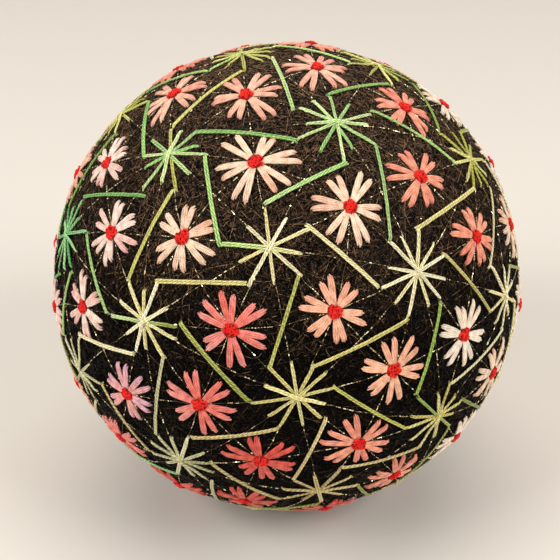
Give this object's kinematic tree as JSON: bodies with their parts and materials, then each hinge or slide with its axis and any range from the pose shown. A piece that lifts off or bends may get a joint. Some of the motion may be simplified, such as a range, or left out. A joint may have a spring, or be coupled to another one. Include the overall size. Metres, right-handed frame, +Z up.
{
  "type": "temari ball",
  "caption": "Thread-wound temari ball with stars, the bent stems that link them and flowers stitched in relief all over; it rests on a small flat spot.",
  "frame": {"origin": "middle of the flat spot on which the ball rests", "axes": "+Z up through the middle of the ball; -Y is the side that faces the viewer"},
  "size_m": [0.101, 0.1014, 0.0999],
  "materials": {
    "wrap_thread": "fine matt black sewing thread, wound at random",
    "star_thread": "variegated green to cream pearl cotton, doubled",
    "flower_thread": "variegated coral to ivory pearl cotton, doubled",
    "knot_thread": "bright red pearl cotton",
    "marking_thread": "fine metallised gold marking thread"
  },
  "bodies": {
    "root": {"temari_ball": "wrap_thread"}
  },
  "joints": []
}
